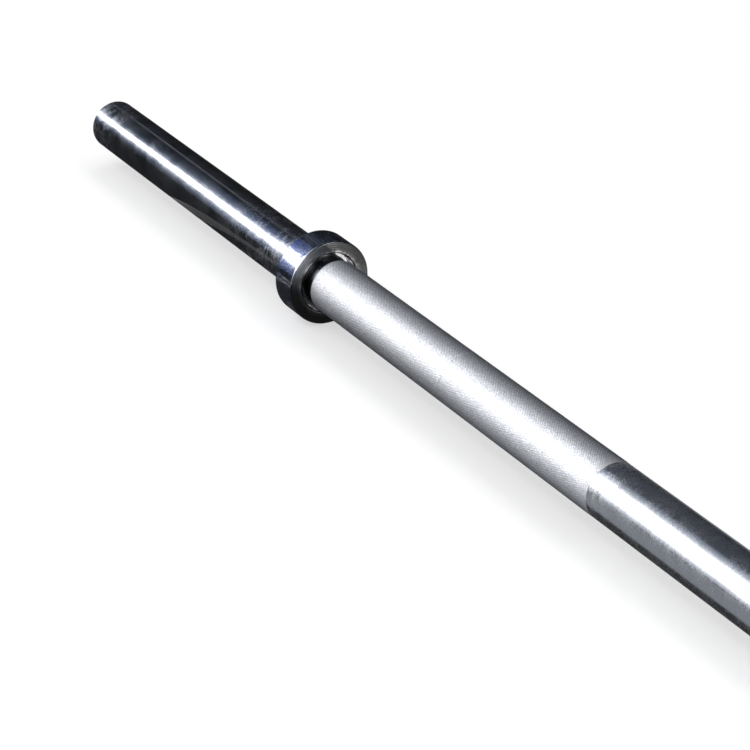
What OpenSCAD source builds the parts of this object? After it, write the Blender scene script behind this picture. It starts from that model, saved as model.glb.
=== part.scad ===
// Fat bar with revolving sleeves.
// A 50 mm grip tube carries a pressed-in steel journal at each end. On each journal a sleeve of
// the same diameter turns on two bronze bushes, between a thrust washer and a retaining ring.
// The bar lies along X, with the origin at its centre, on its axis. Millimetres throughout.

/* [Grip] */
// Diameter of the grip over its smooth centre
grip_d = 50; // [46:0.5:56]
// Wall of the grip tube
grip_wall = 5; // [3:0.5:7]
// Distance between the inboard faces of the two collars
between_collars = 1310; // [1000:5:1400]
// Length of each knurled stretch
knurl_len = 430; // [100:1:480]
// Height of the knurl's crests above the smooth centre
knurl_rise = 0.15; // [0.05:0.05:0.5]
// Smooth turned neck of the grip between a collar's face and the knurl
root_len = 8.5; // [2:0.5:40]
// Depth of the neck below the smooth centre
root_step = 1; // [0.25:0.25:1.5]
// Chamfer on the ends of the grip tube
grip_chamfer = 1; // [0.5:0.25:2]

/* [Sleeve] */
// Diameter of the sleeve that takes the plates
sleeve_d = 50; // [49:0.25:52]
// Length of the sleeve outboard of its collar
sleeve_len = 415; // [180:5:450]
// Bore of the sleeve tube
sleeve_bore_d = 40; // [38:0.5:42]
// Chamfer on the outboard end of the sleeve
sleeve_chamfer = 2; // [1:0.25:3.25]

/* [Collar] */
// Outside diameter of the collar
collar_d = 80; // [74:1:100]
// Width of the collar along the bar
collar_w = 29; // [20:0.5:45]
// Chamfer on the two rims of the collar
collar_chamfer = 1; // [0.5:0.25:2.5]
// Depth of the recess round the root of the grip
recess_depth = 8; // [5:0.5:12]
// Radial gap between the grip and the wall of the recess
recess_gap = 3; // [2:0.5:8]
// Chamfer on the mouth of the recess
recess_chamfer = 1; // [0.25:0.25:1.5]
// Depth of the turned seat on the sleeve tube that the collar is pressed on
seat_step = 1; // [0.5:0.25:2]
// Gap round the sleeve in the collar's outboard face, so that a plate seats flat
stop_gap = 0.25; // [0.1:0.05:0.5]

/* [Journal] */
// Diameter of the journal
journal_d = 28; // [25:0.5:29]
// Length of the plug that is pressed into the grip tube
plug_len = 60; // [30:5:120]
// Journal left outboard of the groove for its retaining ring
journal_tail = 4; // [2:0.5:8]
// Chamfer on the plug and on the journal's end
journal_chamfer = 1; // [0.5:0.25:2]
// Diameter of the cone that a lathe centre leaves in the journal's end
centre_d = 6; // [3:0.5:10]
// Angle of that cone
centre_angle = 60; // [60, 75, 90]
// Radial running clearance between the journal and a bush
running_gap = 0.05; // [0.02:0.01:0.09]
// Axial float of the sleeve at each of its two thrust faces
end_float = 0.3; // [0.1:0.05:0.8]

/* [Bushes and washers] */
// Length of the inboard bush
inner_bush_len = 60; // [25:5:120]
// Length of the outboard bush
outer_bush_len = 40; // [20:5:80]
// Chamfer on the bore of a bush
bush_chamfer = 0.75; // [0.25:0.25:1.5]
// Thickness of the washers
washer_t = 2; // [1:0.25:4]
// Radial clearance of a washer on the journal
washer_gap = 0.15; // [0.05:0.05:0.4]
// Radial inset of a washer's rim from the surface round it
washer_inset = 0.75; // [0.25:0.25:1.5]

/* [Retaining rings] */
// Thickness of the ring on the journal
shaft_ring_t = 1.5; // [1:0.25:2.5]
// Depth of its groove
shaft_groove_depth = 0.7; // [0.4:0.1:1.2]
// Thickness of the ring in the mouth of the sleeve
cap_ring_t = 1.75; // [1:0.25:2.5]
// Depth of its groove
cap_groove_depth = 1.25; // [0.5:0.25:1.5]
// Side play of a ring in its groove
groove_play = 0.1; // [0.05:0.05:0.3]
// Width of a ring's band opposite its gap
ring_band = 3.2; // [2.4:0.1:4]
// Width of the band where it meets the lugs
ring_neck = 2; // [1.4:0.1:2.4]
// Radial height of the lugs
lug_height = 5.2; // [4:0.1:5.4]
// Gap between the two lugs
ring_gap = 4; // [2:0.5:7]
// Distance from the gap to the middle of a lug
lug_inset = 2.1; // [1.6:0.1:2.5]
// Diameter of the plier holes in the lugs
lug_hole_d = 2; // [1.2:0.1:2.4]

/* [End cap] */
// Thickness of the end cap at its rim
cap_t = 6; // [3:0.5:12]
// Depth of the shoulder that the cap sits on
cap_shoulder = 1; // [0.5:0.25:1.5]
// Radial clearance of the cap in the mouth of the sleeve
cap_gap = 0.1; // [0.05:0.05:0.3]
// Depth of the dish in the cap's outer face
cap_dish = 1.5; // [0.5:0.25:2.5]
// Flat rim left round the dish
cap_rim = 6; // [4:0.5:9]
// Sleeve left outboard of the groove for the cap's ring
mouth_lip = 3; // [2:0.25:6]
// Chamfer inside the mouth of the sleeve
mouth_chamfer = 0.5; // [0.25:0.25:0.75]
// Room between the journal's end and the cap
cap_room = 3; // [1:0.5:8]

/* [Hidden] */
$fn = 96;

// Radii
grip_r = grip_d / 2;
grip_bore_r = grip_r - grip_wall;
knurl_r = grip_r + knurl_rise;
neck_r = grip_r - root_step;
recess_r = grip_r + recess_gap;
sleeve_r = sleeve_d / 2;
sleeve_bore_r = sleeve_bore_d / 2;
seat_r = sleeve_r - seat_step;
stop_bore_r = sleeve_r + stop_gap;
mouth_r = sleeve_bore_r + cap_shoulder;
mouth_groove_r = mouth_r + cap_groove_depth;
collar_r = collar_d / 2;
journal_r = journal_d / 2;
shaft_groove_r = journal_r - shaft_groove_depth;
centre_r = centre_d / 2;
centre_depth = centre_r / tan(centre_angle / 2);
bush_bore_r = journal_r + running_gap;
washer_bore_r = journal_r + washer_gap;
thrust_washer_r = neck_r - washer_inset;
end_washer_r = sleeve_bore_r - washer_inset;
cap_r = mouth_r - cap_gap;
dish_r = cap_r - cap_rim;

// Stations along the bar, from its centre outwards to the right
face_x = between_collars / 2;                    // inboard face of the collar
floor_x = face_x + recess_depth;                 // floor of the recess, where the sleeve tube starts
grip_x = floor_x - end_float - washer_t;         // end of the grip tube, under the thrust washer
stop_x = face_x + collar_w;                      // outboard face of the collar, where plates stop
tip_x = stop_x + sleeve_len;                     // outboard end of the sleeve
mouth_groove_x = tip_x - mouth_lip;              // outboard wall of the mouth's groove
cap_face_x = mouth_groove_x - cap_ring_t;        // outer face of the cap's rim
cap_seat_x = cap_face_x - cap_t;                 // shoulder that the cap sits on
journal_end_x = cap_seat_x - cap_room;           // outboard end of the journal
shaft_groove_x = journal_end_x - journal_tail;   // outboard wall of the journal's groove
shaft_ring_x = shaft_groove_x - shaft_ring_t;    // inboard face of the ring on the journal
end_washer_x = shaft_ring_x - washer_t;          // inboard face of the end washer
bush_end_x = end_washer_x - end_float;           // outboard end of the outboard bush
knurl_start_x = face_x - root_len;               // foot of the shoulder that the knurl starts on
knurl_end_x = knurl_start_x - knurl_len;         // where the smooth centre starts

// Colours
chrome = [0.80, 0.82, 0.85];
turned_steel = [0.55, 0.56, 0.58];
knurled_steel = [0.88, 0.88, 0.89];
bronze = [0.72, 0.52, 0.27];
spring_steel = [0.22, 0.23, 0.25];

// A turned piece: each point of the profile is [radius, station along the bar]
module turned(profile) {
    rotate([0, 90, 0])
        rotate_extrude()
            polygon(profile);
}

// The left end of the bar is the mirror image of the right end
module at_left() {
    mirror([1, 0, 0])
        children();
}

// A plain washer or bush between two stations, its bore chamfered at both ends
module tube_ring(outer_r, bore_r, from_x, to_x, chamfer) {
    turned([
        [bore_r + chamfer, from_x],
        [outer_r, from_x],
        [outer_r, to_x],
        [bore_r + chamfer, to_x],
        [bore_r, to_x - chamfer],
        [bore_r, from_x + chamfer]
    ]);
}

// Outside of the right half of the grip, from the centre to its end
grip_half = [
    [grip_r, knurl_end_x - knurl_rise],
    [knurl_r, knurl_end_x],
    [knurl_r, knurl_start_x - root_step - knurl_rise],
    [neck_r, knurl_start_x],
    [neck_r, grip_x - grip_chamfer],
    [neck_r - grip_chamfer, grip_x],
    [grip_bore_r, grip_x]
];

// One tube: smooth in the middle, raised over the two knurled stretches, necked at its two roots
module grip_tube() {
    last = len(grip_half) - 1;
    left_half = [for (i = [last:-1:0]) [grip_half[i].x, -grip_half[i].y]];
    color(knurled_steel)
        turned(concat(left_half, grip_half));
}

// A stepped shaft: the plug sits in the grip tube, and the journal carries the sleeve
module journal() {
    plug_x = grip_x - plug_len;
    color(turned_steel)
        turned([
            [0, plug_x],
            [grip_bore_r - journal_chamfer, plug_x],
            [grip_bore_r, plug_x + journal_chamfer],
            [grip_bore_r, grip_x],
            [journal_r, grip_x],
            [journal_r, shaft_ring_x - groove_play],
            [shaft_groove_r, shaft_ring_x - groove_play],
            [shaft_groove_r, shaft_groove_x],
            [journal_r, shaft_groove_x],
            [journal_r, journal_end_x - journal_chamfer],
            [journal_r - journal_chamfer, journal_end_x],
            [centre_r, journal_end_x],
            [0, journal_end_x - centre_depth]
        ]);
}

// Sits against the end of the grip tube, and takes the sleeve's inward thrust
module thrust_washer() {
    color(bronze)
        tube_ring(thrust_washer_r, washer_bore_r, grip_x, grip_x + washer_t, washer_gap);
}

// Sits against the ring on the journal, and takes the sleeve's outward thrust
module end_washer() {
    color(turned_steel)
        tube_ring(end_washer_r, washer_bore_r, end_washer_x, shaft_ring_x, washer_gap);
}

// Places its children at a ring's two lugs, one on either side of the gap
module at_lugs(lug_r) {
    lug_angle = asin((ring_gap / 2 + lug_inset) / lug_r);
    for (side = [-1, 1])
        rotate(side * lug_angle)
            translate([0, lug_r])
                children();
}

// The opening between the lugs, cut along +Y from the middle of the ring
module ring_opening() {
    translate([-ring_gap / 2, 0])
        square([ring_gap, sleeve_r]);
}

// Turns an outline drawn in X and Y into a plate across the bar, its +Y side up
module plate_across(from_x, thickness) {
    translate([from_x, 0, 0])
        rotate([90, 0, 90])
            linear_extrude(thickness)
                children();
}

// External retaining ring: a crescent round the groove, with lugs that stand outwards
module shaft_ring() {
    shift = (ring_band - ring_neck) / 2;
    back_r = shaft_groove_r + (ring_band + ring_neck) / 2;
    lug_r = shaft_groove_r + lug_height / 2;
    color(spring_steel)
        plate_across(shaft_ring_x, shaft_ring_t)
            difference() {
                union() {
                    translate([0, -shift])
                        circle(r = back_r);
                    at_lugs(lug_r)
                        circle(d = lug_height);
                }
                circle(r = shaft_groove_r);
                ring_opening();
                at_lugs(lug_r)
                    circle(d = lug_hole_d);
            }
}

// Internal retaining ring: a crescent inside the groove, with lugs that stand inwards
module cap_ring() {
    shift = (ring_band - ring_neck) / 2;
    inner_r = mouth_groove_r - (ring_band + ring_neck) / 2;
    lug_r = mouth_groove_r - lug_height / 2;
    color(spring_steel)
        plate_across(cap_face_x, cap_ring_t)
            difference() {
                union() {
                    difference() {
                        circle(r = mouth_groove_r);
                        translate([0, shift])
                            circle(r = inner_r);
                    }
                    at_lugs(lug_r)
                        circle(d = lug_height);
                }
                ring_opening();
                at_lugs(lug_r)
                    circle(d = lug_hole_d);
            }
}

// Takes the plates: a turned seat for the collar inboard, the cap's seat and groove outboard
module sleeve_tube() {
    color(chrome)
        turned([
            [sleeve_bore_r, floor_x],
            [seat_r, floor_x],
            [seat_r, stop_x],
            [sleeve_r, stop_x],
            [sleeve_r, tip_x - sleeve_chamfer],
            [sleeve_r - sleeve_chamfer, tip_x],
            [mouth_r + mouth_chamfer, tip_x],
            [mouth_r, tip_x - mouth_chamfer],
            [mouth_r, mouth_groove_x],
            [mouth_groove_r, mouth_groove_x],
            [mouth_groove_r, cap_face_x - groove_play],
            [mouth_r, cap_face_x - groove_play],
            [mouth_r, cap_seat_x],
            [sleeve_bore_r, cap_seat_x]
        ]);
}

// Stops the plates: pressed on the sleeve tube's seat, and recessed round the root of the grip
module collar() {
    color(chrome)
        turned([
            [seat_r, floor_x],
            [recess_r, floor_x],
            [recess_r, face_x + recess_chamfer],
            [recess_r + recess_chamfer, face_x],
            [collar_r - collar_chamfer, face_x],
            [collar_r, face_x + collar_chamfer],
            [collar_r, stop_x - collar_chamfer],
            [collar_r - collar_chamfer, stop_x],
            [stop_bore_r, stop_x],
            [seat_r, stop_x - seat_step - stop_gap]
        ]);
}

// Pressed into the sleeve tube, flush with its inboard end
module inner_bush() {
    color(bronze)
        tube_ring(sleeve_bore_r, bush_bore_r, floor_x, floor_x + inner_bush_len, bush_chamfer);
}

// Pressed into the sleeve tube, next to the end washer
module outer_bush() {
    color(bronze)
        tube_ring(sleeve_bore_r, bush_bore_r, bush_end_x - outer_bush_len, bush_end_x, bush_chamfer);
}

// A dished disc that closes the sleeve, held on its seat by the ring
module end_cap() {
    color(chrome)
        turned([
            [0, cap_seat_x],
            [cap_r, cap_seat_x],
            [cap_r, cap_face_x],
            [dish_r, cap_face_x],
            [dish_r - cap_dish, cap_face_x - cap_dish],
            [0, cap_face_x - cap_dish]
        ]);
}

grip_tube();
at_left() journal();  // left_journal
journal();  // right_journal
at_left() thrust_washer();  // left_thrust_washer
thrust_washer();  // right_thrust_washer
at_left() end_washer();  // left_end_washer
end_washer();  // right_end_washer
at_left() shaft_ring();  // left_shaft_ring
shaft_ring();  // right_shaft_ring
at_left() sleeve_tube();  // left_sleeve_tube
sleeve_tube();  // right_sleeve_tube
at_left() collar();  // left_collar
collar();  // right_collar
at_left() inner_bush();  // left_inner_bush
inner_bush();  // right_inner_bush
at_left() outer_bush();  // left_outer_bush
outer_bush();  // right_outer_bush
at_left() end_cap();  // left_end_cap
end_cap();  // right_end_cap
at_left() cap_ring();  // left_cap_ring
cap_ring();  // right_cap_ring
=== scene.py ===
"""Dresses the fat bar: fine turned surfaces, cut knurls, finishes, and a plain studio round them.

Metres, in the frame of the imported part: the bar lies along X with its middle at the origin.
"""
import math
from functools import reduce

import bpy
import numpy as np
from bpy.props import (
    FloatProperty,
    FloatVectorProperty,
    IntProperty,
    PointerProperty,
)
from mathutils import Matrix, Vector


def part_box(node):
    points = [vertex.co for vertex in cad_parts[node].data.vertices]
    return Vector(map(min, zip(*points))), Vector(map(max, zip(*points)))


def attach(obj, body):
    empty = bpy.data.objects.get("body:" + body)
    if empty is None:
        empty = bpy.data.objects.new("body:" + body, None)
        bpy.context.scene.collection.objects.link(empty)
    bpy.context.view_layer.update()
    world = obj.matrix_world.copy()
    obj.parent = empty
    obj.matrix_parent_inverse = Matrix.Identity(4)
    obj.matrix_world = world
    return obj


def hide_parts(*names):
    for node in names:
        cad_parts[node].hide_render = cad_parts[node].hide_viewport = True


bl_info = {
    "name": "Fat Bar",
    "version": (1, 0, 0),
    "blender": (4, 5, 0),
    "location": "3D View > Sidebar > Fat Bar",
    "description": "Dresses a thick-grip barbell with revolving sleeves",
    "category": "Object",
}

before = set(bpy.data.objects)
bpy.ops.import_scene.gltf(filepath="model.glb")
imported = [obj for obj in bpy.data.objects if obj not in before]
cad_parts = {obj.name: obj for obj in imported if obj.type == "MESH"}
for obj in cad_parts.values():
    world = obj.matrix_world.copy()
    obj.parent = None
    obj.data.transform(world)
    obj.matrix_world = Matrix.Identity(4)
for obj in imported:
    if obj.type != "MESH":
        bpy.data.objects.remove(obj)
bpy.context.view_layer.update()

# Boxes of the solids that the new surfaces stand for
GRIP_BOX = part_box("grip_tube")
TUBE_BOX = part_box("right_sleeve_tube")
COLLAR_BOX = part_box("right_collar")
CAP_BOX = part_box("right_end_cap")
RING_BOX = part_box("right_cap_ring")
SIDES = {"left": -1.0, "right": 1.0}


def outer_radius(box):
    """Greatest radius about the bar's axis that a solid's box shows"""
    return max(abs(v) for corner in box for v in corner[1:])


FLOOR_HEIGHT = -outer_radius(COLLAR_BOX)

# The grip's core lies a cover's depth under the knurl's grooves, and sinks deeper where the knurl ends
KNURL_COVER, SINK = 0.00002, 0.00005

# Height of the waves in polished plate
WAVINESS = 0.00003

# The lit panel's low edge, middle and high edge, in degrees up from the horizon as seen from the bar
PANEL_LOW, PANEL_MIDDLE, PANEL_HIGH = -1.4, 40.0, 92.0

# Distance from the bar to the cards that are bent round it, and each card's points round and along it
CARD_RADIUS, CARD_ROUND, CARD_ALONG = 1.6, 33, 25

# The floor that the metal shows is made of sheets, each a hair or two above the last
HAIR = 0.0001

# Points along the retaining ring's arc, and faces round one of its lugs
RING_STEPS, LUG_STEPS = 161, 48


# Surfaces


def rounded(corners, blend, steps=4):
    """Profile of [radius, station] corners, each turned into a small quadratic curve.

    For a corner P the curve is (1-s)^2 A + 2s(1-s) P + s^2 B. A and B lie on the two sides, at the
    blend's length from P or at a third of the side. One more point on each side, a spare multiple of
    that length from P, keeps the flats' shading true. A corner on the axis stays as it is.
    Returns the points and, for each, 1 on a curve and 0 elsewhere.
    """
    p = np.asarray(corners, float)
    back, ahead = np.roll(p, 1, axis=0) - p, np.roll(p, -1, axis=0) - p
    back_len = np.linalg.norm(back, axis=1, keepdims=True)
    ahead_len = np.linalg.norm(ahead, axis=1, keepdims=True)
    off_axis = (p[:, :1] > 0).astype(float)
    a = off_axis * np.minimum(blend, back_len / 3) * back / back_len
    b = off_axis * np.minimum(blend, ahead_len / 3) * ahead / ahead_len
    s = np.linspace(0, 1, steps)[:, None, None]
    curve = (1 - s) ** 2 * (p + a) + 2 * s * (1 - s) * p + s**2 * (p + b)
    spare = 1.4
    rows = np.concatenate([[p + spare * a], curve, [p + spare * b]])
    edge = np.zeros(rows.shape[:2])
    edge[1:-1] = off_axis[:, 0]
    points = rows.transpose(1, 0, 2).reshape(-1, 2)
    edge = edge.T.reshape(-1)
    fresh = np.ones(len(points), bool)
    fresh[1:] = np.linalg.norm(np.diff(points, axis=0), axis=1) > 1e-8
    return points[fresh], edge[fresh]


def about_axis(station, radius, angle):
    """Points x = station, y = radius cos angle, z = radius sin angle"""
    circle = radius * np.cos(angle), radius * np.sin(angle)
    return np.stack(np.broadcast_arrays(station, *circle), axis=-1)


def grid_faces(rows, cols, ring_rows=False, ring_cols=False):
    """Quads over points that are numbered row by row. A ring of rows or columns closes on itself."""
    i = np.arange(rows if ring_rows else rows - 1)[:, None]
    j = np.arange(cols if ring_cols else cols - 1)[None, :]
    up, k = (i + 1) % rows, (j + 1) % cols
    quads = [i * cols + j, i * cols + k, up * cols + k, up * cols + j]
    return np.stack(quads, axis=-1).reshape(-1, 4)


def lathe(profile, around):
    """Turned surface: x = station(s), y = radius(s) cos a, z = radius(s) sin a.

    s runs along the profile and a round the bar. A profile that keeps off the axis is closed on itself;
    one that starts and ends on the axis gets a fan of triangles at each pole.
    Returns the vertices, the faces as arrays of equal rows, and the profile's row for each vertex.
    """
    poles = profile[0, 0] == 0
    body = profile[1:-1] if poles else profile
    rows = len(body)
    j = np.arange(around)
    verts = about_axis(body[:, 1:], body[:, :1], j * (2 * math.pi / around)).reshape(-1, 3)
    faces = [grid_faces(rows, around, not poles, True)]
    row_of = np.repeat(np.arange(rows), around)
    if poles:
        first, last = len(verts), len(verts) + 1
        ends = np.array([[profile[0, 1], 0, 0], [profile[-1, 1], 0, 0]])
        verts = np.concatenate([verts, ends])
        row_of = np.concatenate([row_of + 1, [0, rows + 1]])
        k, top = (j + 1) % around, (rows - 1) * around
        faces.append(np.stack([np.full_like(j, first), k, j], axis=-1))
        faces.append(np.stack([top + j, top + k, np.full_like(j, last)], axis=-1))
    return verts, faces, row_of


def facing_out(verts, faces):
    """The same faces, turned round if the volume that they enclose is negative.

    The volume is the sum of a.(b x c) / 6 over the triangles a, b, c.
    """
    volume = 0.0
    for rows in faces:
        for c in range(1, rows.shape[1] - 1):
            p, q, r = verts[rows[:, 0]], verts[rows[:, c]], verts[rows[:, c + 1]]
            volume += float(np.einsum("ij,ij->", p, np.cross(q, r)))
    return faces if volume > 0 else [rows[:, ::-1] for rows in faces]


def placed(name, data):
    """A new object with that data, at the origin"""
    made = bpy.data.objects.new(name, data)
    bpy.context.scene.collection.objects.link(made)
    return made


def build(name, verts, faces, materials, zones=None, smooth=True, **marks):
    """Puts arrays into a mesh object at the origin.

    zones gives each face's material from the faces' centres. marks are values at the vertices, kept as
    attributes of those names.
    """
    mesh = bpy.data.meshes.new(name)
    loops = np.concatenate([rows.ravel() for rows in faces])
    totals = np.concatenate([np.full(len(rows), rows.shape[1]) for rows in faces])
    starts = np.concatenate([[0], np.cumsum(totals)[:-1]])
    mesh.vertices.add(len(verts))
    mesh.vertices.foreach_set("co", np.ascontiguousarray(verts, np.float32).ravel())
    mesh.loops.add(len(loops))
    mesh.loops.foreach_set("vertex_index", loops.astype(np.int32))
    mesh.polygons.add(len(totals))
    mesh.polygons.foreach_set("loop_start", starts.astype(np.int32))
    mesh.polygons.foreach_set("use_smooth", np.full(len(totals), smooth))
    for material in materials:
        mesh.materials.append(material)
    if zones is not None:
        centres = np.concatenate([verts[rows].mean(axis=1) for rows in faces])
        mesh.polygons.foreach_set("material_index", zones(centres).astype(np.int32))
    for key, values in marks.items():
        mesh.attributes.new(key, "FLOAT", "POINT").data.foreach_set("value", values.astype(np.float32))
    mesh.update(calc_edges=True)
    if mesh.validate():
        raise RuntimeError(f"{name}: the mesh had faults")
    return placed(name, mesh)


def turned(name, corners, blend, around, materials, zones=None):
    """A lathe surface with rounded corners, and its edges marked for wear."""
    profile, edge = rounded(corners, blend)
    verts, faces, row_of = lathe(profile, around)
    return build(name, verts, facing_out(verts, faces), materials, zones, edge=edge[row_of])


def dress(piece, body, slot, *nodes):
    """Fixes a piece to its body, and lets it stand for CAD nodes, which it hides. slot is not used."""
    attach(piece, body)
    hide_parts(*nodes)
    return piece


def knurl_surface(side, first, last, sizes):
    """A closed sleeve of cut diamonds, over the rows first to last of one knurl.

    Points lie on a lattice of columns p and rows q, at angle a = pi p / diamonds and station
    x = start + q row. Where p + q is odd two grooves cross, at the groove's radius. Where it is even a
    diamond stands: a flat top at the crest's radius, its four corners a part of the way to its
    neighbours, and four flanks down to the crossings. The crest falls off at both ends of the knurl.
    Returns the vertices and faces, an inner wall included.
    """
    n = sizes.diamonds
    row = sizes.knurl_length / sizes.knurl_rows

    def place(p, q, radius):
        return about_axis(side * (sizes.knurl_start + q * row), radius, math.pi * p / n)

    def crest(q):
        x = sizes.knurl_start + q * row
        rise = np.clip((x - sizes.knurl_start) / sizes.knurl_fade, 0, 1)
        rise = rise * rise * (3 - 2 * rise)
        crown = sizes.centre_radius + rise * (sizes.crest_radius - sizes.centre_radius)
        shoulder = sizes.neck_radius + sizes.knurl_start + sizes.knurl_length - x
        return np.minimum(crown, np.maximum(shoulder, sizes.groove_radius - SINK))

    def lattice(rows, odd):
        """p and q of the points in those rows where p + q is odd, or else even"""
        q = np.repeat(rows[:, None], n, axis=1)
        return 2 * np.arange(n) + (q + odd) % 2, q

    def crossing(p, q):
        """Number of the crossing at p and q"""
        return (q - (first - 1)) * n + ((p - (q + 1) % 2) // 2) % n

    groove = place(*lattice(np.arange(first - 1, last + 2), 1), sizes.groove_radius).reshape(-1, 3)
    p, q = lattice(np.arange(first, last + 1), 0)
    rng = np.random.default_rng(first + (3 if side > 0 else 7))
    tilt = sizes.crest_scatter * rng.uniform(-1, 1, (4,) + p.shape)
    t = sizes.flat_share
    ways = ((1, 0), (0, 1), (-1, 0), (0, -1))
    tops = [
        place(p + dp * t, q + dq * t, crest(q + dq * t) + lift)
        for (dp, dq), lift in zip(ways, tilt)
    ]
    top = len(groove) + np.arange(4 * p.size).reshape(4, p.size)
    low = [crossing(p + dp, q + dq).ravel() for dp, dq in ways]
    # Each flank goes from one top corner to the next, and from the fourth to the first again
    flanks = [(top[c], low[c], low[c - 3], top[c - 3]) for c in range(4)]

    hoop = np.arange(2 * n)
    after = (hoop + 1) % (2 * n)
    low_q = np.where((hoop + first) % 2 == 1, first, first - 1)
    high_q = np.where((hoop + last) % 2 == 1, last, last + 1)
    inner = len(groove) + 4 * p.size + hoop
    hoops = crossing(hoop, low_q), inner, inner + 2 * n, crossing(hoop, high_q)
    walls = [(a[after], a, b, b[after]) for a, b in zip(hoops, hoops[1:])]

    lining = [place(hoop, at, sizes.core_radius) for at in (low_q, high_q)]
    verts = np.concatenate([groove] + [points.reshape(-1, 3) for points in tops + lining])
    quads = np.concatenate([np.stack(corners, axis=-1) for corners in (top, *flanks, *walls)])
    return verts, facing_out(verts, [quads])


def ring_surface(sizes):
    """Retaining ring in the mouth of the right sleeve: a crescent and two lugs, each a closed shell.

    The crescent carries a rounded rectangle round the axis from one lug to the other. At an angle a
    from the gap its inner radius is c cos a + sqrt(R^2 - c^2 sin^2 a), for a circle R shifted by c.
    A lug is the same rectangle turned about its own hole, and cut flat along the gap.
    """
    x0, x1 = RING_BOX[0].x, RING_BOX[1].x
    outer, shift, inner = outer_radius(RING_BOX), sizes.ring_shift, sizes.ring_inner
    flat = sizes.ring_gap / 2

    def stamped(low, high):
        """Section between two radii, through the ring's thickness"""
        return rounded([[low, x0], [high, x0], [high, x1], [low, x1]], sizes.ring_edge, 3)[0]

    section = stamped(inner, outer)
    share, station = (section[:, :1] - inner) / (outer - inner), section[:, 1:]
    start = math.asin(flat / inner)
    a = np.linspace(start, 2 * math.pi - start, RING_STEPS)
    near = shift * np.cos(a) + np.sqrt(inner**2 - (shift * np.sin(a)) ** 2)
    verts = about_axis(station, near + share * (outer - near), math.pi / 2 - a).reshape(-1, 3)
    first_end = np.arange(len(section)) * RING_STEPS
    ends = np.stack([first_end, first_end[::-1] + RING_STEPS - 1])
    faces = facing_out(verts, [grid_faces(len(section), RING_STEPS, True), ends])

    lug_radius = sizes.lug_diameter / 2
    lug_at = outer - lug_radius
    for side in (-1, 1):
        angle = side * math.asin((flat + sizes.lug_inset) / lug_at)
        lug, lug_faces, _ = lathe(stamped(sizes.lug_hole / 2, lug_radius), LUG_STEPS)
        lug_faces = facing_out(lug, lug_faces)
        lug = lug + [0, lug_at * math.sin(angle), lug_at * math.cos(angle)]
        lug[:, 1] = side * np.maximum(side * lug[:, 1], flat)
        faces = faces + [rows + len(verts) for rows in lug_faces]
        verts = np.concatenate([verts, lug])
    return verts, faces


def mirrored(verts, faces):
    """The same surface at the left end: x changes sign, and the faces turn round to point out again."""
    return verts * [-1, 1, 1], [rows[:, ::-1] for rows in faces]


# Finishes


class Tree:
    """Adds nodes to a tree. An input's value is a socket to link or a plain value to set."""

    def __init__(self, tree):
        self.tree = tree

    def feed(self, socket, value):
        if isinstance(value, bpy.types.NodeSocket):
            self.tree.links.new(value, socket)
        else:
            socket.default_value = value

    def add(self, kind, inputs=None, **settings):
        node = self.tree.nodes.new(kind)
        for key, value in settings.items():
            setattr(node, key, value)
        for key, value in (inputs or {}).items():
            self.feed(node.inputs[key], value)
        return node

    def math(self, operation, *values):
        return self.add("ShaderNodeMath", dict(enumerate(values)), operation=operation).outputs[0]

    def plus(self, *values):
        return reduce(lambda a, b: self.math("ADD", a, b), values)

    def times(self, *values):
        return reduce(lambda a, b: self.math("MULTIPLY", a, b), values)

    def mix(self, factor, low, high):
        """Colour between low and high"""
        return self.add("ShaderNodeMix", {0: factor, 6: low, 7: high}, data_type="RGBA").outputs[2]

    def spread(self, value, low, high, to_low=0.0, to_high=1.0):
        """Value from low..high to to_low..to_high, held at both ends"""
        return self.add("ShaderNodeMapRange", {
            "Value": value, "From Min": low, "From Max": high, "To Min": to_low, "To Max": to_high,
        }).outputs["Result"]

    def noise(self, vector, scale, detail=3.0, roughness=0.55):
        return self.add("ShaderNodeTexNoise", {
            "Vector": vector, "Scale": scale, "Detail": detail, "Roughness": roughness,
        }).outputs["Fac"]

    def squeezed(self, vector, squeeze):
        """Coordinates that draw a pattern out along the axes where squeeze is small"""
        made = self.add("ShaderNodeVectorMath", {0: vector, 1: squeeze}, operation="MULTIPLY")
        return made.outputs[0]

    def parts(self, vector):
        return self.add("ShaderNodeSeparateXYZ", {0: vector}).outputs

    def coordinates(self):
        return self.add("ShaderNodeTexCoord").outputs["Object"]

    def attribute(self, name):
        return self.add("ShaderNodeAttribute", attribute_name=name).outputs["Fac"]

    def ramp(self, value, stops):
        """Colour from stops, each a position from 0 to 1 and the colour there"""
        made = self.add("ShaderNodeValToRGB", {"Fac": value})
        elements = made.color_ramp.elements
        while len(elements) < len(stops):
            elements.new(0.5)
        for element, (position, colour) in zip(elements, stops):
            element.position = position
            element.color = (*colour, 1.0)
        return made.outputs["Color"]


GROUPS = {}


def shader_group(**defaults):
    """Keeps a function as the maker of the shader group of that name.

    It takes the group's tree, the vector and a socket for each default. It returns the outputs by name.
    """
    def keep(make):
        GROUPS[make.__name__.replace("_", " ").title()] = make, defaults
        return make
    return keep


def shared(name):
    """The shader group of that name, made the first time"""
    made = bpy.data.node_groups.get(name)
    if made:
        return made
    make, defaults = GROUPS[name]
    made = bpy.data.node_groups.new(name, "ShaderNodeTree")
    made.interface.new_socket("Vector", in_out="INPUT", socket_type="NodeSocketVector")
    for key, default in defaults.items():
        kind = "NodeSocketVector" if isinstance(default, tuple) else "NodeSocketFloat"
        made.interface.new_socket(key, in_out="INPUT", socket_type=kind).default_value = default
    tree = Tree(made)
    given = tree.add("NodeGroupInput").outputs
    masks = make(tree, given["Vector"], *(given[key] for key in defaults))
    for key in masks:
        made.interface.new_socket(key, in_out="OUTPUT", socket_type="NodeSocketFloat")
    tree.add("NodeGroupOutput", masks)
    return made


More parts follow.
